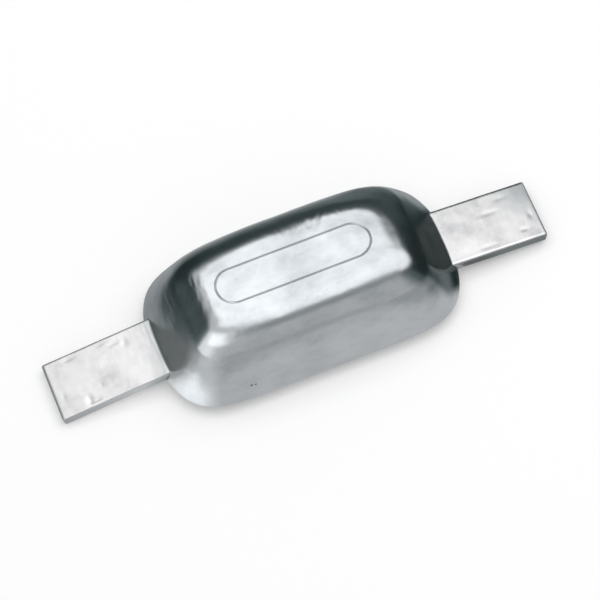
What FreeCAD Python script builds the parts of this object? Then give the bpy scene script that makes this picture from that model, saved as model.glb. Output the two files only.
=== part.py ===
import FreeCAD, Part
import math
import os

# Weld-on sacrificial anode, in millimetres.
# A zinc casting holds a flat steel strap that runs through its back. The two strap ends are bent down a
# little, so they reach the hull first and are welded there.
# The origin is the centre of the casting's back. +X runs along the strap and +Z points away from the hull.

# Zinc casting: leaning walls that turn over round shoulders into a flat top
casting_length = 123.0
casting_width = 65.0
casting_height = 32.0
end_lean_angle = 30.0
side_lean_angle = 17.0
end_shoulder = 16.0
side_shoulder = 13.0

# Plan outlines of the casting, (x / a)^p + (y / b)^q = 1
# A high p keeps the sides straight for longer, and a high q does the same for the ends.
side_straightness_at_back = 7.3
end_straightness_at_back = 2.1
side_straightness_at_top = 2.1
end_straightness_at_top = 7.8

# Groove round the bare oval field on the top, which sits a little towards -X
field_length = 62.0
field_width = 14.4
field_offset = -1.4
groove_width = 0.9
groove_depth = 0.5

# Steel strap: flat bar with rolled edges and square-cut ends
strap_width = 25.0
strap_thickness = 5.0
strap_edge_round = 0.8
left_tab_length = 41.0
right_tab_length = 36.0
left_bend_angle = 8.4
right_bend_angle = 6.3
bend_radius = 12.0
bend_gap = 0.3

# How finely the casting's curved skin is drawn
wall_rows = 3
shoulder_rows = 7
points_per_quarter = 10
fine_steps = 200
share_accuracy = 1e-9
flat_edge_limit = 1e-6


def half_size(height, half_base, lean, shoulder):
    """Half the length or width at a height: a leaning wall, then an arc that ends level with the top."""
    angle = math.radians(lean)
    wall_top = casting_height - shoulder * (1 - math.sin(angle))
    if height <= wall_top:
        return half_base - height * math.tan(angle)
    arc_centre = half_base - wall_top * math.tan(angle) - shoulder * math.cos(angle)
    rise = height - (casting_height - shoulder)
    return arc_centre + math.sqrt(max(shoulder**2 - rise**2, 0.0))


def corner_share(p, q):
    """The share u of both half sizes at which an outline turns its corner, where u^p + u^q = 1."""
    low, high = 0.0, 1.0
    while high - low > share_accuracy:
        middle = (low + high) / 2
        if middle**p + middle**q < 1:
            low = middle
        else:
            high = middle
    return low


def quarter_outline(height):
    """Fine points of a quarter of the plan outline, from the middle of an end to the middle of a side."""
    a = half_size(height, casting_length / 2, end_lean_angle, end_shoulder)
    b = half_size(height, casting_width / 2, side_lean_angle, side_shoulder)
    share = height / casting_height
    p = side_straightness_at_back + (side_straightness_at_top - side_straightness_at_back) * share
    q = end_straightness_at_back + (end_straightness_at_top - end_straightness_at_back) * share
    turn = corner_share(p, q)
    round_end = [turn * step / fine_steps for step in range(fine_steps)]
    along_side = [turn * (1 - step / fine_steps) for step in range(fine_steps + 1)]
    points = [(a * (1 - v**q) ** (1 / p), b * v) for v in round_end]
    return points + [(a * u, b * (1 - u**p) ** (1 / q)) for u in along_side]


def evenly_spaced(points, count):
    """Points at equal distances along a fine polyline, both ends included."""
    distance = [0.0]
    for here, there in zip(points, points[1:]):
        distance.append(distance[-1] + math.dist(here, there))
    chosen = [points[0]]
    for step in range(1, count):
        wanted = distance[-1] * step / count
        after = next(index for index, value in enumerate(distance) if value >= wanted)
        share = (wanted - distance[after - 1]) / (distance[after] - distance[after - 1])
        (x0, y0), (x1, y1) = points[after - 1], points[after]
        chosen.append((x0 + share * (x1 - x0), y0 + share * (y1 - y0)))
    return chosen + [points[-1]]


def outline_curve(height):
    """One closed, smooth plan outline of the casting."""
    quarter = evenly_spaced(quarter_outline(height), points_per_quarter)
    half = quarter + [(-x, y) for x, y in reversed(quarter[:-1])]
    loop = half + [(x, -y) for x, y in reversed(half[1:-1])]
    points = [FreeCAD.Vector(x, y, height) for x, y in loop]
    curve = Part.BSplineCurve()
    curve.interpolate(Points=points, PeriodicFlag=True, Parameters=list(range(len(points) + 1)))
    return curve


def outline_rows():
    """Plan outlines up the wall and over the shoulder to the flat top."""
    angle = math.radians(side_lean_angle)
    wall_top = casting_height - side_shoulder * (1 - math.sin(angle))
    rows = [outline_curve(wall_top * step / wall_rows) for step in range(wall_rows)]
    for step in range(shoulder_rows + 1):
        turn = angle + (math.pi / 2 - angle) * step / shoulder_rows
        rows.append(outline_curve(casting_height - side_shoulder * (1 - math.sin(turn))))
    return rows


def cast_body():
    """Closed body: one smooth skin over all the outlines, with a flat back and a flat top."""
    rows = outline_rows()
    around = rows[0]
    degree = 3
    poles = [list(column) for column in zip(*[row.getPoles() for row in rows])]
    inner_knots = [1] * (len(rows) - degree - 1)
    up_multiplicities = [degree + 1] + inner_knots + [degree + 1]
    skin = Part.BSplineSurface()
    skin.buildFromPolesMultsKnots(
        poles, around.getMultiplicities(), up_multiplicities,
        around.getKnots(), list(range(len(up_multiplicities))), True, False, degree, degree)
    side = skin.toShape()
    rims = [edge for edge in side.Edges if edge.BoundBox.ZLength < casting_height / 2]
    shell = Part.Shell([side] + [Part.Face(Part.Wire([rim])) for rim in rims])
    shell.sewShape()
    return Part.Solid(shell)


def oval_prism(length, width, bottom, top):
    """Upright prism on an oval: two straight sides joined by two half circles."""
    radius = width / 2
    straight = length / 2 - radius
    edges = []
    for side in (-1, 1):
        start = FreeCAD.Vector(-straight, side * radius, bottom)
        end = FreeCAD.Vector(straight, side * radius, bottom)
        edges.append(Part.LineSegment(start, end).toShape())
        inner = FreeCAD.Vector(side * straight, -radius, bottom)
        outer = FreeCAD.Vector(side * straight, radius, bottom)
        tip = FreeCAD.Vector(side * length / 2, 0, bottom)
        edges.append(Part.Arc(inner, tip, outer).toShape())
    outline = Part.Wire(Part.__sortEdges__(edges))
    return Part.Face(outline).extrude(FreeCAD.Vector(0, 0, top - bottom))


def field_groove():
    """Narrow groove round the oval field."""
    bottom = casting_height - groove_depth
    top = casting_height + groove_depth
    outer = oval_prism(field_length + groove_width, field_width + groove_width, bottom, top)
    inner = oval_prism(field_length - groove_width, field_width - groove_width, bottom, top)
    groove = outer.cut(inner)
    groove.translate(FreeCAD.Vector(field_offset, 0, 0))
    return groove


def strap_channel():
    """The room that the straight middle of the strap takes in the casting's back."""
    length = casting_length + strap_width
    bar = Part.makeBox(length, strap_width, 2 * strap_thickness)
    bar.translate(FreeCAD.Vector(-length / 2, -strap_width / 2, -strap_thickness))
    upper = [edge for edge in bar.Edges if edge.BoundBox.ZMin > 0 and edge.BoundBox.XLength > strap_width]
    return bar.makeFillet(strap_edge_round, upper)


def zinc_casting():
    """The cast body, with the strap's channel in its back and the framed field on its top."""
    return cast_body().cut(field_groove()).cut(strap_channel())


def tab_outline(side, tab_length, bend_angle):
    """Side view of one bent end: a bend and a straight run on both faces, and the square-cut tip."""
    angle = math.radians(bend_angle)
    start = casting_length / 2 + bend_gap
    straight = tab_length - bend_gap - bend_radius * angle
    along = FreeCAD.Vector(side * math.cos(angle), 0, -math.sin(angle)) * straight

    def on_bend(turn, radius):
        x = side * (start + radius * math.sin(turn))
        return FreeCAD.Vector(x, 0, radius * math.cos(turn) - bend_radius)

    edges = []
    tips = []
    for radius in (bend_radius, bend_radius + strap_thickness):
        bend_end = on_bend(angle, radius)
        edges.append(Part.Arc(on_bend(0, radius), on_bend(angle / 2, radius), bend_end).toShape())
        tips.append(bend_end + along)
        edges.append(Part.LineSegment(bend_end, tips[-1]).toShape())
    edges.append(Part.LineSegment(tips[0], tips[1]).toShape())
    return edges


def steel_strap():
    """The flat bar in side view, drawn out to its width, with its long edges rolled round."""
    half = casting_length / 2 + bend_gap
    edges = tab_outline(1, right_tab_length, right_bend_angle)
    edges += tab_outline(-1, left_tab_length, left_bend_angle)
    for level in (0.0, strap_thickness):
        middle = Part.LineSegment(FreeCAD.Vector(-half, 0, level), FreeCAD.Vector(half, 0, level))
        edges.append(middle.toShape())
    outline = Part.Wire(Part.__sortEdges__(edges))
    bar = Part.Face(outline).extrude(FreeCAD.Vector(0, strap_width, 0))
    bar.translate(FreeCAD.Vector(0, -strap_width / 2, 0))
    tip_faces = [face for face in bar.Faces if face.normalAt(0, 0).x**2 > 0.5 and is_flat(face)]
    tip_edges = [edge.hashCode() for face in tip_faces for edge in face.Edges]
    in_side_view = [edge for edge in bar.Edges if edge.BoundBox.YLength < flat_edge_limit]
    rolled = [edge for edge in in_side_view if edge.hashCode() not in tip_edges]
    return bar.makeFillet(strap_edge_round, rolled)


def is_flat(face):
    """Whether a face is a plane."""
    return isinstance(face.Surface, Part.Plane)


os.makedirs("parts", exist_ok=True)
solids = {"zinc_casting": zinc_casting(), "steel_strap": steel_strap()}
for name, shape in solids.items():
    shape.exportStep("parts/" + name + ".step")
    print(name, len(shape.Solids), "solid,", round(shape.Volume / 1000, 2), "cm3, valid", shape.isValid())
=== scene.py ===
import math

import bmesh
import bpy
import numpy as np
from mathutils import Matrix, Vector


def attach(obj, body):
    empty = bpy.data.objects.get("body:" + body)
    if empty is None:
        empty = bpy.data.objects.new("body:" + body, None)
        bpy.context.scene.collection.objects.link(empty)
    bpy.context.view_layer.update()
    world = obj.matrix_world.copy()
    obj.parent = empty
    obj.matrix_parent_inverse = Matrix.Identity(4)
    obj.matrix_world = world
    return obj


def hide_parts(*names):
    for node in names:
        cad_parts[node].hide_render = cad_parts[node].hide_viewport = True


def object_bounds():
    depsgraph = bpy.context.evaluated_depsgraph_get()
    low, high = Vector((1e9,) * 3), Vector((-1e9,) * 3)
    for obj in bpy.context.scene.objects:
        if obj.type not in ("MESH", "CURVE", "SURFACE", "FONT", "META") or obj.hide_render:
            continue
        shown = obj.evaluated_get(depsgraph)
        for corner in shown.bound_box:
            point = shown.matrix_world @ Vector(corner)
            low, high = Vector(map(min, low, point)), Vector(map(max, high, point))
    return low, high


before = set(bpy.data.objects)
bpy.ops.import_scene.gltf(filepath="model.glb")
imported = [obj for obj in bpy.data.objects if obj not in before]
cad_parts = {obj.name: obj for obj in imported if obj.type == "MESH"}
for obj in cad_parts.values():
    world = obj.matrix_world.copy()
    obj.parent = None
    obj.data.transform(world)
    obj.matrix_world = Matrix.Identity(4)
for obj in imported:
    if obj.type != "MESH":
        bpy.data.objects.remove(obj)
cad_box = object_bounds()

# Sizes in millimetres and degrees, the same as in the CAD part
casting_length = 123.0
casting_width = 65.0
casting_height = 32.0
end_lean_angle = 30.0
side_lean_angle = 17.0
end_shoulder = 16.0
side_shoulder = 13.0
field_length = 62.0
field_width = 14.4
field_offset = -1.4
strap_width = 25.0
strap_thickness = 5.0
strap_edge_round = 0.8
bend_radius = 12.0
bend_gap = 0.3

# Powers that say how straight the casting's sides and ends are, at the back and at the top
side_straightness = (7.3, 2.1)
end_straightness = (2.1, 7.8)

# The strap's ends by their side: how far each reaches beyond the casting, and the angle it is bent down by
tabs = {-1: (41.0, 8.4), 1: (36.0, 6.3)}

# Groove round the field: round-bottomed here, and a touch wider and shallower than the CAD part's
groove_width = 0.95
groove_depth = 0.45
groove_roundness = 1.4

# Edge between the casting's back and its walls: how far in on the back it starts, and how high it ends
edge_on_back = 0.45
edge_on_wall = 0.35

# How far beyond the strap's channel the last of the back's lines starts
back_spread = 9.0

# Small gas pits in the zinc, painted as dark spots of shade: x, y, z and radius of each
gas_pits = (
    (-31.6, -30.2, 7.0, 0.65), (-30.0, -30.2, 6.7, 0.55),
    (34.0, -28.3, 8.0, 0.45), (36.0, -27.5, 9.5, 0.40))

# Nicks and dings in the strap's ends: x, y, size along and across the bar, and depth of each
handling_dents = (
    (-90.0, -9.3, 1.0, 1.9, 0.210), (-87.5, -10.3, 1.6, 0.8, 0.132), (-84.0, -5.2, 0.8, 1.4, 0.060),
    (-74.5, 8.6, 2.6, 0.8, 0.084), (-70.0, 7.4, 0.9, 1.8, 0.084), (-79.0, 10.6, 2.6, 0.6, 0.072),
    (-92.5, 10.2, 2.5, 0.7, 0.096), (-99.0, -3.5, 0.7, 2.0, 0.060), (-72.0, -7.0, 4.0, 2.5, 0.030),
    (70.0, 2.0, 2.0, 2.6, 0.030), (79.5, 4.0, 3.6, 0.9, 0.036), (86.0, 8.6, 2.4, 1.0, 0.036),
    (90.0, -7.4, 1.2, 0.7, 0.060), (74.0, -9.6, 3.4, 0.7, 0.036), (94.6, -2.0, 0.5, 1.5, 0.072))

# How far inside the mouth the strap's bend lies, and how long the stretch before it with finer rows is
bend_inside_mouth = 4.0
fine_stretch = 12.0

# Worn edge of the strap's tips: its depth, and its share of the way from the rim to the middle
tip_round = 0.8
tip_round_share = 0.25

# Columns in a quarter of the casting's grid: over the strap's channel, round its corner, down its side, all
# those of the end wall, and those of the side wall
roof_columns = 20
corner_columns = 4
cheek_columns = 8
mouth_columns = roof_columns + 1 + corner_columns + cheek_columns
end_columns = 54
side_columns = 92

# Rows of the casting's grid, from the middle of the back to the middle of the field
back_rows = 14
edge_rows = 4
wall_rows = 34
shoulder_rows = 34
top_rows = 12
groove_rows = 8
field_rows = 12

# Rows of half the strap's grid, from its middle to a tip, and columns round its section
hidden_rows = 8
fine_rows = 15
bend_rows = 4
tab_rows = 70
flat_columns = 43
upright_columns = 6
rolled_steps = 5

# Edges sharper than this many degrees aren't shaded smooth
sharp_angle = 40

# A millimetre in metres
mm = 0.001


def ease(x, low, high):
    """0 at low and 1 at high, joined by the curve 3t^2 - 2t^3 and level beyond. Low may be the larger."""
    t = np.clip((x - low) / (high - low), 0, 1)
    return t * t * (3 - 2 * t)


def bump(x, centre, width):
    """Bell curve exp(-(x - centre)^2 / width^2)."""
    return np.exp(-(((x - centre) / width) ** 2))


def ripples(points, wavelength, seed, waves=28):
    """Sum of sine waves in random directions, from 0.7 to 1.4 wavelengths long, with a spread of about 1."""
    chance = np.random.default_rng(seed)
    directions = chance.normal(size=(waves, 3))
    directions /= np.linalg.norm(directions, axis=1, keepdims=True)
    lengths = wavelength * chance.uniform(0.7, 1.4, waves)
    phases = chance.uniform(0, 2 * np.pi, waves)
    angles = 2 * np.pi * points @ (directions / lengths[:, None]).T + phases
    return np.sin(angles).sum(-1) * math.sqrt(2 / waves)


def half_size(height, half_base, lean, shoulder):
    """Half the length or width at a height: a leaning wall, then an arc that ends level with the top."""
    angle = math.radians(lean)
    wall_top = casting_height - shoulder * (1 - math.sin(angle))
    wall = half_base - height * math.tan(angle)
    arc_centre = half_base - wall_top * math.tan(angle) - shoulder * math.cos(angle)
    rise = height - (casting_height - shoulder)
    arc = arc_centre + np.sqrt(np.clip(shoulder**2 - rise**2, 0, None))
    return np.where(height <= wall_top, wall, arc)


def plan_values(height):
    """Half sizes a and b, powers p and q, and the corner share u with u^p + u^q = 1, at each height."""
    a = half_size(height, casting_length / 2, end_lean_angle, end_shoulder)
    b = half_size(height, casting_width / 2, side_lean_angle, side_shoulder)
    share = height / casting_height
    p = side_straightness[0] + (side_straightness[1] - side_straightness[0]) * share
    q = end_straightness[0] + (end_straightness[1] - end_straightness[0]) * share
    halvings = 40
    low, high = np.zeros_like(height), np.ones_like(height)
    for _ in range(halvings):
        u = (low + high) / 2
        inside = u**p + u**q < 1
        low, high = np.where(inside, u, low), np.where(inside, high, u)
    return a, b, p, q, low


def skin_point(place, height):
    """A quarter of the casting's plan outline (x/a)^p + (y/b)^q = 1 at a height.
    Place runs from 0 in the middle of an end to 1 at the corner, with y = b u place,
    and from 1 to 2 in the middle of a side, with x = a u (2 - place)."""
    a, b, p, q, u = plan_values(height)
    across = u * np.clip(place, 0, 1)
    along = u * np.clip(2 - place, 0, 1)
    on_end = place <= 1
    x = a * np.where(on_end, (1 - across**q) ** (1 / p), along)
    y = b * np.where(on_end, across, (1 - along**p) ** (1 / q))
    return np.stack([x, y, height + 0 * x], -1)


def full_loop(quarter):
    """Mirrors rows of a quarter, from +X round to +Y, into closed loops."""
    half = np.concatenate([quarter, quarter[:, -2::-1] * [-1, 1, 1]], axis=1)
    return np.concatenate([half, half[:, -2:0:-1] * [1, -1, 1]], axis=1)


def mouth_profile():
    """Lower ends of the end wall's columns: over the strap's channel, round its corner, down its side and
    along the back. Gives the place on the outline and the height of each, how far aside it goes before it
    turns up, and how much of that way it stays level."""
    half, corner = strap_width / 2, strap_edge_round
    turn = np.linspace(0, np.pi / 2, corner_columns + 1)[1:]
    y = np.concatenate([
        np.linspace(0, half - corner, roof_columns + 1),
        half - corner + corner * np.sin(turn),
        np.full(cheek_columns, half)])
    z = np.concatenate([
        np.full(roof_columns + 1, strap_thickness),
        strap_thickness - corner + corner * np.cos(turn),
        np.linspace(strap_thickness - corner, 0, cheek_columns + 1)[1:]])
    _, b, _, _, u = plan_values(z)
    place = y / (b * u)
    beyond = np.linspace(place[-1], 1, end_columns - mouth_columns + 2)[1:]

    # Columns from the channel's side start out level and turn up one beyond the other. They push those beyond
    # them aside, less and less over a few columns.
    step_aside = 0.3
    push_fades_over, hold_fades_over = 5, 1.5
    above = np.zeros(roof_columns + 1 + corner_columns)
    on_cheek = np.arange(1, cheek_columns + 1)
    after = np.arange(1, len(beyond) + 1)
    reach = step_aside * np.concatenate([above, on_cheek, cheek_columns * np.exp(-after / push_fades_over)])
    hold = np.concatenate([
        above, np.ones(cheek_columns - 1), [0.5], 0.5 * np.exp(-after / hold_fades_over)])
    return np.concatenate([place, beyond]), np.concatenate([z, np.zeros(len(beyond))]), reach, hold


def side_places():
    """Places on the outline of the side wall's columns, from beyond the corner to the middle of the side."""
    return np.linspace(1, 2, side_columns + 1)[1:]


def wall_and_shoulder(rim_place, rim_height, reach, hold):
    """A quarter of the skin, row by row: at even steps up the wall, then at even turns round the shoulder."""
    lean = math.radians(side_lean_angle)
    wall_top = casting_height - side_shoulder * (1 - math.sin(lean))
    wall = wall_top * np.linspace(0, 1, wall_rows + 1)
    turn = np.linspace(lean, np.pi / 2, shoulder_rows + 1)[1:]
    rise = np.concatenate([wall, casting_height - side_shoulder * (1 - np.sin(turn))]) / casting_height
    rise[0] = edge_on_wall / casting_height
    rise = rise[:, None]

    # The columns beside the mouth go aside first. That dies away round the casting's corner.
    least_reach = 0.01
    before_corner, past_corner = 0.9, 1.15
    aside = reach * (1 - np.exp(-casting_height * rise / np.maximum(reach, least_reach))) * (1 - rise)
    aside *= ease(rim_place, past_corner, before_corner)
    straight_up = rim_height + (casting_height - rim_height) * rise
    height = straight_up - hold * aside * (1 - rim_height / casting_height)
    top_place = np.concatenate([np.linspace(0, 1, end_columns + 1), side_places()])
    place = rim_place + (top_place - rim_place) * rise + aside / (casting_width / 2)
    return skin_point(place, height)


def back_and_edge(rim, wall_start):
    """A quarter of the back and of its edge. The back's lines run out from the plane x = 0, on the channel's
    own profile where they end on it. The edge is a curve that leaves back and wall level with them."""
    column = np.arange(len(rim))
    spread = (column - (mouth_columns - 1)) / (len(rim) - mouth_columns)
    middle = rim * [0, 1, 1]
    middle[:, 1] = np.where(column < mouth_columns, rim[:, 1], strap_width / 2 + back_spread * spread)
    inward = middle - rim
    inward /= np.linalg.norm(inward, axis=1, keepdims=True)
    lip = rim + inward * edge_on_back
    share = np.linspace(0, 1, back_rows + 1)[:, None, None]
    back = middle + (lip - middle) * share
    t = np.linspace(0, 1, edge_rows + 1)[1:-1, None, None]
    edge = (1 - t) ** 2 * lip + 2 * t * (1 - t) * rim + t**2 * wall_start
    return np.concatenate([back, edge])


def top_loops(outline):
    """Loops inward across the top: from its outline to the groove, through the round-bottomed groove, and
    over the field to its middle line."""
    half_line = (field_length - field_width) / 2
    turn = np.concatenate([np.linspace(0, np.pi / 2, end_columns + 1), np.full(side_columns, np.pi / 2)])
    line = np.concatenate([np.full(end_columns + 1, half_line), half_line * (2 - side_places())])

    def ring(radius, depth):
        height = np.full(len(line), casting_height - depth)
        return np.stack([line + radius * np.cos(turn), radius * np.sin(turn), height], -1)

    shift = [field_offset, 0, 0]
    outer = (field_width + groove_width) / 2
    inner = (field_width - groove_width) / 2
    groove = full_loop(np.stack([
        ring(outer - groove_width * share, groove_depth * np.sin(np.pi * share) ** groove_roundness)
        for share in np.linspace(0, 1, groove_rows + 1)])) + shift
    field = full_loop(np.stack([
        ring(inner * share, 0) for share in np.linspace(1, 0, field_rows + 1)[1:]])) + shift
    share = np.linspace(0, 1, top_rows + 1)[1:-1, None, None]
    return np.concatenate([outline + (groove[:1] - outline) * share, groove, field])


def casting_rows():
    """The whole closed skin as loops of points: from the middle of the back out to its edge, up the walls,
    over the shoulders and across the top. Also says which of the loops are walls and shoulders."""
    place, height, reach, hold = mouth_profile()
    place = np.concatenate([place, side_places()])
    height = np.concatenate([height, np.zeros(side_columns)])
    reach = np.concatenate([reach, np.full(side_columns, reach[-1])])
    hold = np.concatenate([hold, np.zeros(side_columns)])
    rim = skin_point(place[None], height[None])[0]
    skin = wall_and_shoulder(place, height, reach, hold)
    underside = back_and_edge(rim, skin[0])
    lower = full_loop(np.concatenate([underside, skin]))
    return np.concatenate([lower, top_loops(lower[-1:])]), slice(len(underside), len(lower))


def row_normals(rows):
    """Unit normals of a grid of loops: along the loops crossed with across them."""
    along = np.roll(rows, -1, axis=1) - np.roll(rows, 1, axis=1)
    across = np.gradient(rows, axis=0)
    normals = np.cross(along, across)
    least_length = 1e-9
    return normals / np.maximum(np.linalg.norm(normals, axis=-1, keepdims=True), least_length)


def cast_relief(points):
    """How far a cast skin lies below its true shape: slow sink marks, mould unevenness, fine folds where the
    metal chilled at the left end and along the top's edges, and a sink that rounds the far right corner."""
    x, y, z = points[..., 0], points[..., 1], points[..., 2]
    slow = 0.07 * ripples(points, 30, 1) + 0.022 * ripples(points, 13, 2)
    fine = 0.006 * ripples(points, 5, 3)
    end_folds = bump(x, -34, 5) * bump(y, 3, 9) + 0.5 * bump(x, -45, 7) * bump(y, 7, 13)
    near_folds = 0.7 * bump(x, -22, 9) * bump(y, -12.5, 2.2)
    far_folds = bump(x, 14, 19) * bump(y, 14.5, 3)
    folds = 0.05 * (end_folds + near_folds + far_folds) * np.abs(ripples(points * [1, 0.4, 1], 3.0, 4))
    mean_depth = 0.12
    away_from_back = ease(z, 0.5, 6) * ease(z, 0, 12)
    towards_corner = 0.62 * x + 0.78 * y
    sink = 1.25 * ease(towards_corner, 26, 40) * ease(z, 25, 31)
    return (mean_depth + slow + fine + folds) * away_from_back + sink


def mesh_over_loops(name, rows):
    """Mesh of four-sided faces between each loop of points, in metres, and the next."""
    count, around = rows.shape[:2]
    i, j = np.meshgrid(np.arange(count - 1), np.arange(around), indexing="ij")
    after = (j + 1) % around
    quads = [i * around + j, i * around + after, (i + 1) * around + after, (i + 1) * around + j]
    mesh = bpy.data.meshes.new(name)
    mesh.from_pydata(rows.reshape(-1, 3).tolist(), [], np.stack(quads, -1).reshape(-1, 4).tolist())
    return mesh


def closed_mesh(name, rows):
    """Closed mesh over loops of points in millimetres. Points that meet are merged, closing both ends."""
    mesh = mesh_over_loops(name, rows * mm)
    work = bmesh.new()
    work.from_mesh(mesh)
    meeting_distance = 0.002 * mm
    bmesh.ops.remove_doubles(work, verts=work.verts, dist=meeting_distance)
    work.to_mesh(mesh)
    work.free()
    mesh.shade_smooth()
    mesh.set_sharp_from_angle(angle=math.radians(sharp_angle))
    return mesh


def add_piece(name, rows, node, material):
    """New piece of the object that stands for a CAD node."""
    piece = bpy.data.objects.new(name, closed_mesh(name, rows))
    bpy.context.scene.collection.objects.link(piece)
    piece.data.materials.append(material)
    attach(piece, "root")
    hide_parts(node)


def cast_zinc_rows():
    """The casting's loops with its cast relief, laid inward along the skin's normals and downward on top."""
    rows, wall = casting_rows()
    normals = row_normals(rows)
    normals[wall.stop:] = [0, 0, 1]
    normals[: wall.start] = [0, 0, 0]
    depth = np.clip(cast_relief(rows), 0, None)
    return rows - normals * depth[..., None]


def section_loop():
    """Round the bar's section: across the top, down one edge, back below and up the other. Its corners are
    rolled round."""
    r, half, thick = strap_edge_round, strap_width / 2, strap_thickness
    wide = np.linspace(-(half - r), half - r, flat_columns)
    tall = np.linspace(r, thick - r, upright_columns)
    edge = np.full(upright_columns, half)
    turn = np.linspace(0, np.pi / 2, rolled_steps + 1)[1:-1]
    y = np.concatenate([
        wide, half - r + r * np.sin(turn), edge, half - r + r * np.cos(turn),
        wide[::-1], -(half - r) - r * np.sin(turn), -edge, -(half - r) - r * np.cos(turn)])
    z = np.concatenate([
        np.full(flat_columns, thick), thick - r + r * np.cos(turn), tall[::-1], r - r * np.sin(turn),
        np.zeros(flat_columns), r - r * np.cos(turn), tall, thick - r + r * np.sin(turn)])
    return y, z


def strap_path(side):
    """Underside of one half of the strap in side view: level to a bend just inside the casting's mouth, round
    it, and straight to where the CAD part's tip is. Gives x, z and the angle the bar has turned down by."""
    tab, bend = tabs[side]
    bent = math.radians(bend)
    straight = tab - bend_gap - bend_radius * bent
    tip_x = casting_length / 2 + bend_gap + bend_radius * math.sin(bent) + straight * math.cos(bent)
    tip_z = bend_radius * (math.cos(bent) - 1) - straight * math.sin(bent)
    knee = casting_length / 2 - bend_inside_mouth
    slope = math.atan2(-tip_z, tip_x - knee)
    start = knee - bend_radius * math.tan(slope / 2)
    fine_start = start - fine_stretch
    level = np.concatenate([
        np.linspace(0, fine_start, hidden_rows + 1)[:-1],
        np.linspace(fine_start, start, fine_rows + 1)[:-1]])
    turn = np.linspace(0, slope, bend_rows + 1)[:-1]
    tab_x, tab_z = start + bend_radius * math.sin(slope), bend_radius * (math.cos(slope) - 1)
    share = np.linspace(0, 1, tab_rows)
    x = np.concatenate([level, start + bend_radius * np.sin(turn), tab_x + (tip_x - tab_x) * share])
    z = np.concatenate([0 * level, bend_radius * (np.cos(turn) - 1), tab_z + (tip_z - tab_z) * share])
    return side * x, z, np.concatenate([0 * level, turn, np.full(tab_rows, slope)])


def dent_depth(points):
    """Depth of the dents in the strap's upper face, each a bell-shaped hollow."""
    x, y = points[..., 0], points[..., 1]
    depth = np.zeros(points.shape[:-1])
    for at_x, at_y, long, wide, deep in handling_dents:
        depth += deep * bump(x, at_x, long) * bump(y, at_y, wide)
    return depth


def tip_loops(rim, middle, outward):
    """Loops from the rim of a tip to the middle of it, over an edge with a small worn round."""
    steps = np.array([0.0, 0.02, 0.07, 0.15, 0.25, 0.5, 0.75, 1.0])
    left_to_go = 1 - np.clip(steps / tip_round_share, 0, 1)
    back = tip_round * (1 - np.sqrt(1 - left_to_go**2))
    return rim + (middle - rim) * steps[:, None, None] - outward * back[:, None, None]


def strap_rows():
    """The bar's section carried along its path, with a slightly uneven skin and dents in its upper face. Each
    tip is closed by loops that shrink on to the section's middle line."""
    y, z = section_loop()
    left, right = strap_path(-1), strap_path(1)
    x = np.concatenate([left[0][::-1], right[0][1:]])[:, None]
    low = np.concatenate([left[1][::-1], right[1][1:]])[:, None]
    lean = np.concatenate([left[2][::-1], -right[2][1:]])[:, None]
    up = np.stack(np.broadcast_arrays(-np.sin(lean), 0.0, np.cos(lean)), -1)
    rows = np.stack(np.broadcast_arrays(x, y, low), -1) + up * z[:, None]

    half_middle_line = 10.0
    inner_y = np.clip(y, -half_middle_line, half_middle_line)
    middle = np.stack(np.broadcast_arrays(x, inner_y, low), -1) + up * strap_thickness / 2
    towards_middle = middle - rows
    towards_middle /= np.linalg.norm(towards_middle, axis=-1, keepdims=True)
    uneven = 0.03 + 0.016 * ripples(rows, 18, 11) + 0.003 * ripples(rows, 5, 12)
    dent_fade = 0.9
    on_top = ease(z, strap_thickness - dent_fade, strap_thickness)
    depth = np.clip(uneven, 0, None) + dent_depth(rows) * on_top
    rows = rows + towards_middle * depth[..., None]

    ends = {}
    for side, last in ((-1, 0), (1, -1)):
        bend = math.radians(tabs[side][1])
        outward = np.array([side * math.cos(bend), 0, -math.sin(bend)])
        ends[side] = tip_loops(rows[last], middle[last], outward)
    return np.concatenate([ends[-1][::-1], rows[1:-1], ends[1]])


def colour(code):
    """sRGB hex to linear red, green, blue and an alpha of 1."""
    parts = np.array([int(code[i:i + 2], 16) for i in (1, 3, 5)]) / 255
    linear = np.where(parts <= 0.04045, parts / 12.92, ((parts + 0.055) / 1.055) ** 2.4)
    return (*linear.tolist(), 1.0)


def add_node(material, kind, settings=None, **links):
    """Adds a shader node. Settings set its properties and its sockets; links join its sockets to others.
    Where sockets share a name, settings give a socket's number instead, and links give i and its number."""
    node = material.node_tree.nodes.new("ShaderNode" + kind)
    for name, value in (settings or {}).items():
        if isinstance(name, str) and hasattr(node, name):
            setattr(node, name, value)
        else:
            node.inputs[name].default_value = value
    for name, output in links.items():
        socket = node.inputs[int(name[1:])] if name[0] == "i" and name[1:].isdigit() else node.inputs[name]
        material.node_tree.links.new(output, socket)
    return node


def new_material(name):
    """Empty node material and its output."""
    material = bpy.data.materials.new(name)
    material.use_nodes = True
    material.node_tree.nodes.clear()
    return material, add_node(material, "OutputMaterial")


def ramp(material, source, stops):
    """Colour ramp over a value, from (position, colour) stops."""
    node = add_node(material, "ValToRGB", Fac=source)
    band = node.color_ramp
    while len(band.elements) < len(stops):
        band.elements.new(0.5)
    for element, (position, shade) in zip(band.elements, stops):
        element.position, element.color = position, shade
    return node.outputs["Color"]


def spot(material, place, base, centre, radius, core, shade):
    """Lays a round spot, with its sizes in millimetres, over a base colour: full strength within the core
    radius and none beyond the outer one."""
    away = add_node(
        material, "VectorMath", {"operation": "DISTANCE", 1: [size * mm for size in centre]}, Vector=place)
    cover = add_node(
        material, "MapRange", {"From Min": radius * mm, "From Max": core * mm}, Value=away.outputs["Value"])
    mixed = add_node(
        material, "Mix", {"data_type": "RGBA", 7: colour(shade)}, Factor=cover.outputs[0], i6=base)
    return mixed.outputs[2]


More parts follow.
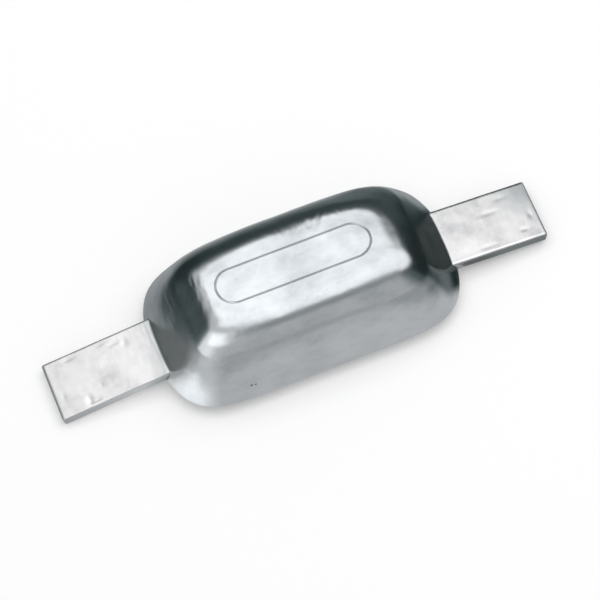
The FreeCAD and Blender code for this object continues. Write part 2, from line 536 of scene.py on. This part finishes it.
def between(material, value, low, high):
    """Mask that is 0 at low and 1 at high, and level beyond. Low may be the larger."""
    return add_node(material, "MapRange", {"From Min": low, "From Max": high}, Value=value).outputs[0]


def bare_cast_zinc():
    """Zinc poured into a metal mould and left bare: a bright, slightly bluish skin that mirrors softly, with
    a fine grain, dull oxide clouds, a thin patchy film, and dark spots of painted shade for a few gas pits."""
    material, output = new_material("bare_cast_zinc")
    place = add_node(material, "TexCoord").outputs["Object"]
    clouds = add_node(
        material, "TexNoise", {"Scale": 1 / (22 * mm), "Detail": 4.0, "Roughness": 0.55}, Vector=place)
    drawn = add_node(material, "Mapping", {"Scale": (0.55, 1.0, 1.0)}, Vector=place)
    film = add_node(
        material, "TexNoise", {"Scale": 1 / (6 * mm), "Detail": 6.0, "Roughness": 0.7},
        Vector=drawn.outputs["Vector"])
    grain = add_node(
        material, "TexNoise", {"Scale": 1 / (1.6 * mm), "Detail": 3.0, "Roughness": 0.6}, Vector=place)
    oxide_tone = ramp(material, clouds.outputs["Fac"], [
        (0.30, colour("#B9BCBE")), (0.50, colour("#C3C5C7")), (0.72, colour("#C9CBCC"))])
    film_tone = ramp(material, film.outputs["Fac"], [
        (0.32, colour("#F0F1F1")), (0.45, colour("#FAFAFA")), (0.60, colour("#FFFFFF"))])
    skin = add_node(
        material, "Mix", {"data_type": "RGBA", "blend_type": "MULTIPLY", "Factor": 1.0},
        i6=oxide_tone, i7=film_tone).outputs[2]
    # Painted shade: each pit is a dark spot on the skin, not a hollow in it
    for *centre, radius in gas_pits:
        skin = spot(material, place, skin, centre, radius, radius / 2, "#6A6E6E")
    dullness = ramp(material, clouds.outputs["Fac"], [
        (0.32, (0.26, 0.26, 0.26, 1)), (0.55, (0.19, 0.19, 0.19, 1)), (0.75, (0.16, 0.16, 0.16, 1))])
    relief = add_node(
        material, "Bump", {"Strength": 0.25, "Distance": 0.06 * mm}, Height=grain.outputs["Fac"])
    shader = add_node(
        material, "BsdfPrincipled", {"Metallic": 1.0},
        **{"Base Color": skin, "Roughness": dullness, "Normal": relief.outputs["Normal"]})
    material.node_tree.links.new(shader.outputs["BSDF"], output.inputs["Surface"])
    return material


def rubbed_and_shaded_edges(material, along, aside):
    """Mask of a narrow band along both sides of the strap and across both tips, where handling rubs it dull
    and where its turned edges are painted darker as shade.
    """
    half_width = strap_width / 2 * mm
    edge = between(material, aside, half_width - 0.45 * mm, half_width - 0.15 * mm)
    for side, (length, bend) in tabs.items():
        tip = side * (casting_length / 2 + length * math.cos(math.radians(bend))) * mm
        at_tip = between(material, along, tip - side * 0.7 * mm, tip - side * 0.1 * mm)
        edge = add_node(material, "Math", {"operation": "MAXIMUM"}, i0=edge, i1=at_tip).outputs[0]
    return edge


def distance_to_wall(material, from_middle, aside, height):
    """How far out from the casting's leaning end wall a point lies: |x| + z tan(lean), less the casting's
    half length. The mouth's curve, 0.6 mm at the strap's edges, is added by |y|^3."""
    half_width = strap_width / 2 * mm
    lean = {"operation": "MULTIPLY_ADD", 1: math.tan(math.radians(end_lean_angle))}
    curve = {"operation": "MULTIPLY_ADD", 1: 0.6 * mm / half_width**3}
    foot = {"operation": "SUBTRACT", 1: casting_length / 2 * mm}
    cubed = add_node(material, "Math", {"operation": "POWER", 1: 3.0}, i0=aside).outputs[0]
    leaning = add_node(material, "Math", lean, i0=height, i2=from_middle).outputs[0]
    curved = add_node(material, "Math", curve, i0=cubed, i2=leaning).outputs[0]
    return add_node(material, "Math", foot, i0=curved).outputs[0]


def galvanised_flat_bar():
    """Hot-dip galvanised mild steel bar: a pale matt zinc coat with faint grey smears and fine lines across
    it, rolled edges rubbed dull and painted darker as shade, and a dark line of painted shade where the bar
    leaves the casting."""
    material, output = new_material("galvanised_flat_bar")
    place = add_node(material, "TexCoord").outputs["Object"]
    across = add_node(material, "Mapping", {"Scale": (1.0, 0.15, 1.0)}, Vector=place).outputs["Vector"]
    lines = add_node(
        material, "TexNoise", {"Scale": 1 / (1.6 * mm), "Detail": 2.0}, Vector=across).outputs["Fac"]
    smears = add_node(
        material, "TexNoise", {"Scale": 1 / (10 * mm), "Detail": 6.0, "Roughness": 0.62}, Vector=place)
    coat = ramp(material, smears.outputs["Fac"], [
        (0.30, colour("#CECDCD")), (0.42, colour("#DEDBDB")),
        (0.54, colour("#E7E4E3")), (0.72, colour("#EBE8E7"))])

    axes = add_node(material, "SeparateXYZ", Vector=place).outputs
    from_middle = add_node(material, "Math", {"operation": "ABSOLUTE"}, i0=axes["X"]).outputs[0]
    aside = add_node(material, "Math", {"operation": "ABSOLUTE"}, i0=axes["Y"]).outputs[0]

    edge = rubbed_and_shaded_edges(material, axes["X"], aside)
    wall = distance_to_wall(material, from_middle, aside, axes["Z"])

    # Painted shade of the gap between bar and casting: darkest where the wall meets the bar
    gap_shade = add_node(
        material, "Math", {"operation": "MULTIPLY"},
        i0=between(material, wall, 0.4 * mm, 0), i1=between(material, wall, -1.0 * mm, 0)).outputs[0]

    # A darker grey band with fine lines along the left mouth, and a spot of painted shade over the far corner
    # at the right tip
    lined_grey = add_node(material, "MapRange", {"From Min": 0.35, "From Max": 0.65, "To Min": 0.5}, Value=lines)
    at_left = add_node(
        material, "Math", {"operation": "MULTIPLY"},
        i0=lined_grey.outputs[0], i1=between(material, axes["X"], 10 * mm, -10 * mm))
    at_mouth = add_node(
        material, "Math", {"operation": "MULTIPLY"},
        i0=at_left.outputs[0], i1=between(material, wall, 7.5 * mm, 1.5 * mm))
    coat = add_node(
        material, "Mix", {"data_type": "RGBA", 7: colour("#BDBFC0")},
        Factor=at_mouth.outputs[0], i6=coat).outputs[2]
    # Painted shade: a darker grey spot over the far corner of the right tip
    painted_shade_corner = (98.0, 12.0, 1.0)
    coat = spot(material, place, coat, painted_shade_corner, 18.0, 2.0, "#B8BBBC")
    # Partly wear and partly painted shade: the rubbed band is painted darker, standing in for shade on the
    # turned edges
    rubbed_and_shaded = add_node(material, "Mix", {"data_type": "RGBA", 7: colour("#A6A9AB")}, Factor=edge, i6=coat)
    # Painted shade: a dark line over the bar where it meets the casting's wall
    gap_shaded = add_node(
        material, "Mix", {"data_type": "RGBA", 7: colour("#747A79")}, Factor=gap_shade, i6=rubbed_and_shaded.outputs[2])

    # The coat is duller towards the left end, and dullest along the rubbed edges
    shine = add_node(
        material, "MapRange", {"From Min": -60 * mm, "From Max": 60 * mm, "To Min": 0.80, "To Max": 1.0},
        Value=axes["X"])
    bare = add_node(material, "MapRange", {"To Max": 0.55}, Value=edge, **{"To Min": shine.outputs[0]})
    dullness = add_node(material, "MapRange", {"To Min": 0.23, "To Max": 0.3}, Value=edge)
    relief = add_node(material, "Bump", {"Strength": 0.25, "Distance": 0.05 * mm}, Height=lines)
    shader = add_node(
        material, "BsdfPrincipled",
        **{"Base Color": gap_shaded.outputs[2], "Metallic": bare.outputs[0], "Roughness": dullness.outputs[0],
           "Normal": relief.outputs["Normal"]})
    material.node_tree.links.new(shader.outputs["BSDF"], output.inputs["Surface"])
    return material


def card_tone(facing, rise):
    """Linear colour of the cards that the metal mirrors, by the side they stand on, in degrees round from +X,
    and their angle above the object, in degrees. Each is a soft-edged patch laid over the ones before it.
    Dark cards are greener: with c = exp(-tone / 0.18), red is 0.98 - 0.3 c, green 1 + 0.14 c and blue
    1.015 + 0.12 c times the tone."""
    empty_room = 0.11
    tone = np.full(facing.shape, empty_room)

    def lay(way, width, low, high, shade, soft_side=12.0, soft_rise=6.0):
        """One card: the side it stands on and its width, its lower and upper edge, and its tone."""
        off = np.abs((facing - way + 180) % 360 - 180)
        cover = 1 - ease(off, width / 2 - soft_side, width / 2 + soft_side)
        cover = cover * ease(rise, low - soft_rise, low + soft_rise)
        cover = cover * (1 - ease(rise, high - soft_rise, high + soft_rise))
        tone[:] = tone * (1 - cover) + shade * cover

    # Paper on the floor: greyer behind the object, bright before the window and dark past the right end
    lay(0, 720, -95, -25, 0.75)
    lay(105, 145, -95, -10, 0.42, soft_rise=15)
    lay(70, 70, -15, 15, 0.20, soft_side=20, soft_rise=12)
    lay(80, 32, -50, -35, 0.85, soft_side=8)
    lay(220, 40, -55, -22, 1.70)
    # Dark room behind the object and at its right end, with a faint streak on the floor there
    lay(150, 36, -33, 45, 0.05, soft_rise=5)
    lay(115, 60, 0, 40, 0.035)
    lay(65, 45, 10, 40, 0.07)
    lay(0, 70, -80, 35, 0.03, soft_side=6)
    lay(35, 14, -45, 35, 0.09, soft_side=7)
    lay(338, 36, -46, -29, 0.22, soft_side=8, soft_rise=4)
    lay(350, 70, -26, 35, 0.03, soft_side=8)
    lay(310, 16, -28, 38, 0.14, soft_side=7)
    # Grey wall in front, and a window with a dark sill at the left
    lay(268, 64, -28, 50, 0.66, soft_side=10)
    lay(260, 30, -25, -5, 0.52)
    lay(290, 30, -30, -22, 0.40, soft_rise=3)
    lay(235, 30, -32, 30, 0.80, soft_rise=8)
    lay(203, 56, -13, 56, 1.30, soft_side=10, soft_rise=4)
    lay(190, 24, -28, -17, 0.50, soft_side=8, soft_rise=3)
    lay(212, 30, -20, -14, 0.62, soft_side=8, soft_rise=3)
    lay(168, 14, -20, 50, 0.18, soft_side=8)
    lay(157, 10, 0, 45, 0.12, soft_side=5, soft_rise=8)
    # Bright cloth overhead: its gap in front, its hems at the back, its shaded left part, and a lamp
    lay(0, 720, 56, 95, 1.80)
    lay(353, 86, 44, 71, 1.50, soft_side=10, soft_rise=5)
    lay(192, 150, 55, 78, 0.76, soft_side=20, soft_rise=8)
    lay(120, 90, 49, 57, 0.55, soft_side=15, soft_rise=3)
    lay(65, 30, 45, 55, 0.07, soft_side=10, soft_rise=4)
    lay(272, 62, 44, 65, 0.36, soft_side=10, soft_rise=4)
    lay(225, 50, 30, 62, 1.90, soft_side=10)
    lay(224, 58, 65, 74, 0.72, soft_rise=4)

    cool = np.exp(-tone / 0.18)
    tint = np.stack([0.98 - 0.3 * cool, 1 + 0.14 * cool, 1.015 + 0.12 * cool], -1)
    return tone[..., None] * tint


def add_cards(level):
    """Paper on the floor and cards all round the object, seen by its reflections alone. They are one sheet of
    loops about the casting's middle line, out along the floor and then up a dome, in metres."""
    half_line, shoulder = 0.034, 0.013
    near, far = 0.02, 2.0
    above_floor, eye_height = 0.001, 0.028
    turn_steps, line_steps, floor_loops, dome_steps = 24, 12, 43, 90
    line = half_line * np.concatenate([np.ones(turn_steps + 1), np.linspace(1, 0, line_steps + 1)[1:]])
    turn = np.concatenate([np.linspace(0, np.pi / 2, turn_steps + 1), np.full(line_steps, np.pi / 2)])
    on_floor = near * (far / near) ** np.linspace(0, 1, floor_loops + 1)[:-1]
    climb = np.linspace(0, np.pi / 2, dome_steps + 1)
    out = np.concatenate([on_floor, far * np.cos(climb)])[:, None]
    up = np.concatenate([0 * on_floor, far * np.sin(climb)])[:, None] + level + above_floor
    spread = np.minimum(1, out / near)
    radius = out + spread * shoulder
    rows = full_loop(np.stack(np.broadcast_arrays(
        spread * line + radius * np.cos(turn), radius * np.sin(turn), up), -1))

    outward = full_loop(np.stack([np.cos(turn), np.sin(turn), 0 * turn], -1)[None])[0]
    facing = np.degrees(np.arctan2(outward[:, 1], outward[:, 0]))
    rise = np.degrees(np.arctan2(up - eye_height, out))
    tone = card_tone(*np.broadcast_arrays(facing, rise))

    mesh = mesh_over_loops("studio_cards", rows)
    shades = mesh.color_attributes.new("tone", "FLOAT_COLOR", "POINT")
    shades.data.foreach_set("color", np.concatenate([tone, np.ones(tone.shape[:2] + (1,))], -1).ravel())
    material, output = new_material("studio_card")
    paint = add_node(material, "Attribute", {"attribute_name": "tone"})
    glow = add_node(material, "Emission", Color=paint.outputs["Color"])
    material.node_tree.links.new(glow.outputs[0], output.inputs["Surface"])
    mesh.materials.append(material)
    cards = bpy.data.objects.new("studio_cards", mesh)
    bpy.context.scene.collection.objects.link(cards)
    cards.visible_camera = False
    cards.visible_diffuse = False
    cards.visible_shadow = False


def seen_ray(tree_owner):
    """1 for a ray from the camera or by way of metal or glass, and 0 for any other."""
    path = add_node(tree_owner, "LightPath").outputs
    either = add_node(
        tree_owner, "Math", {"operation": "MAXIMUM"}, i0=path["Is Camera Ray"], i1=path["Is Glossy Ray"])
    any_of_them = add_node(
        tree_owner, "Math", {"operation": "MAXIMUM"}, i0=either.outputs[0], i1=path["Is Transmission Ray"])
    return any_of_them.outputs[0]


def add_floor(level):
    """Pale floor that keeps the object's shadow. To the camera and in metal it is lifted to near white."""
    material, output = new_material("pale_floor")
    card = add_node(material, "BsdfDiffuse", {"Color": colour("#E6E6E6")})
    glow = add_node(material, "Emission", {"Color": colour("#FFFFFF"), "Strength": 0.2})
    both = add_node(material, "AddShader", i0=card.outputs[0], i1=glow.outputs[0])
    mixed = add_node(material, "MixShader", Fac=seen_ray(material), i1=card.outputs[0], i2=both.outputs[0])
    material.node_tree.links.new(mixed.outputs[0], output.inputs["Surface"])
    reach = 6.0
    corners = [(-reach, -reach, level), (reach, -reach, level), (reach, reach, level), (-reach, reach, level)]
    mesh = bpy.data.meshes.new("floor")
    mesh.from_pydata(corners, [], [(0, 1, 2, 3)])
    mesh.materials.append(material)
    floor = bpy.data.objects.new("floor", mesh)
    bpy.context.scene.collection.objects.link(floor)


def add_softbox():
    """Wide soft lamp above the object, a little to the right and behind."""
    lamp = bpy.data.lights.new("softbox", "AREA")
    lamp.shape = "RECTANGLE"
    lamp.size, lamp.size_y = 1.7, 1.3
    radiance = 1.65
    lamp.energy = radiance * math.pi * lamp.size * lamp.size_y
    holder = bpy.data.objects.new("softbox", lamp)
    holder.location = (0.2, 0.1, 1.2)
    holder.visible_camera = False
    holder.visible_glossy = False
    bpy.context.scene.collection.objects.link(holder)


def add_world():
    """Even light from all round; white to the camera, in metal and in glass."""
    world = bpy.data.worlds.new("studio")
    bpy.context.scene.world = world
    world.use_nodes = True
    world.node_tree.nodes.clear()
    output = add_node(world, "OutputWorld")
    strength = add_node(world, "MapRange", {"To Min": 0.5, "To Max": 1.0}, Value=seen_ray(world))
    light = add_node(world, "Background", {"Color": colour("#FFFFFF")}, Strength=strength.outputs[0])
    world.node_tree.links.new(light.outputs[0], output.inputs["Surface"])


def add_camera():
    """Camera at the photo's angle. Its place comes from the outline of the object in the picture. Distance is
    in metres, and focus and the view's middle are in pixels of the picture."""
    turn, lift, roll = math.radians(14.79), math.radians(64.8), math.radians(-7.33)
    distance, focus = 1.26024, 3268.67
    picture = 600
    middle_x, middle_y = 301.28, 297.24
    ahead = np.array([
        math.sin(turn) * math.cos(lift), math.cos(turn) * math.cos(lift), -math.sin(lift)])
    right = np.array([math.cos(turn), -math.sin(turn), 0])
    up = np.cross(right, ahead)
    tilted_right = math.cos(roll) * right + math.sin(roll) * up
    tilted_up = math.cos(roll) * up - math.sin(roll) * right
    lens = bpy.data.cameras.new("camera")
    lens.sensor_width = 36
    lens.lens = lens.sensor_width * focus / picture
    lens.shift_x = (picture / 2 - middle_x) / picture
    lens.shift_y = (middle_y - picture / 2) / picture
    lens.clip_end = 100
    camera = bpy.data.objects.new("camera", lens)
    pose = np.eye(4)
    pose[:3] = np.stack([tilted_right, tilted_up, -ahead, -distance * ahead], -1)
    camera.matrix_world = Matrix(pose.tolist())
    bpy.context.scene.collection.objects.link(camera)
    bpy.context.scene.camera = camera


add_piece("cast_body", cast_zinc_rows(), "zinc_casting", bare_cast_zinc())
add_piece("flat_bar_strap", strap_rows(), "steel_strap", galvanised_flat_bar())

bpy.context.scene.view_settings.view_transform = "Standard"
add_floor(cad_box[0].z)
add_cards(cad_box[0].z)
add_softbox()
add_world()
add_camera()
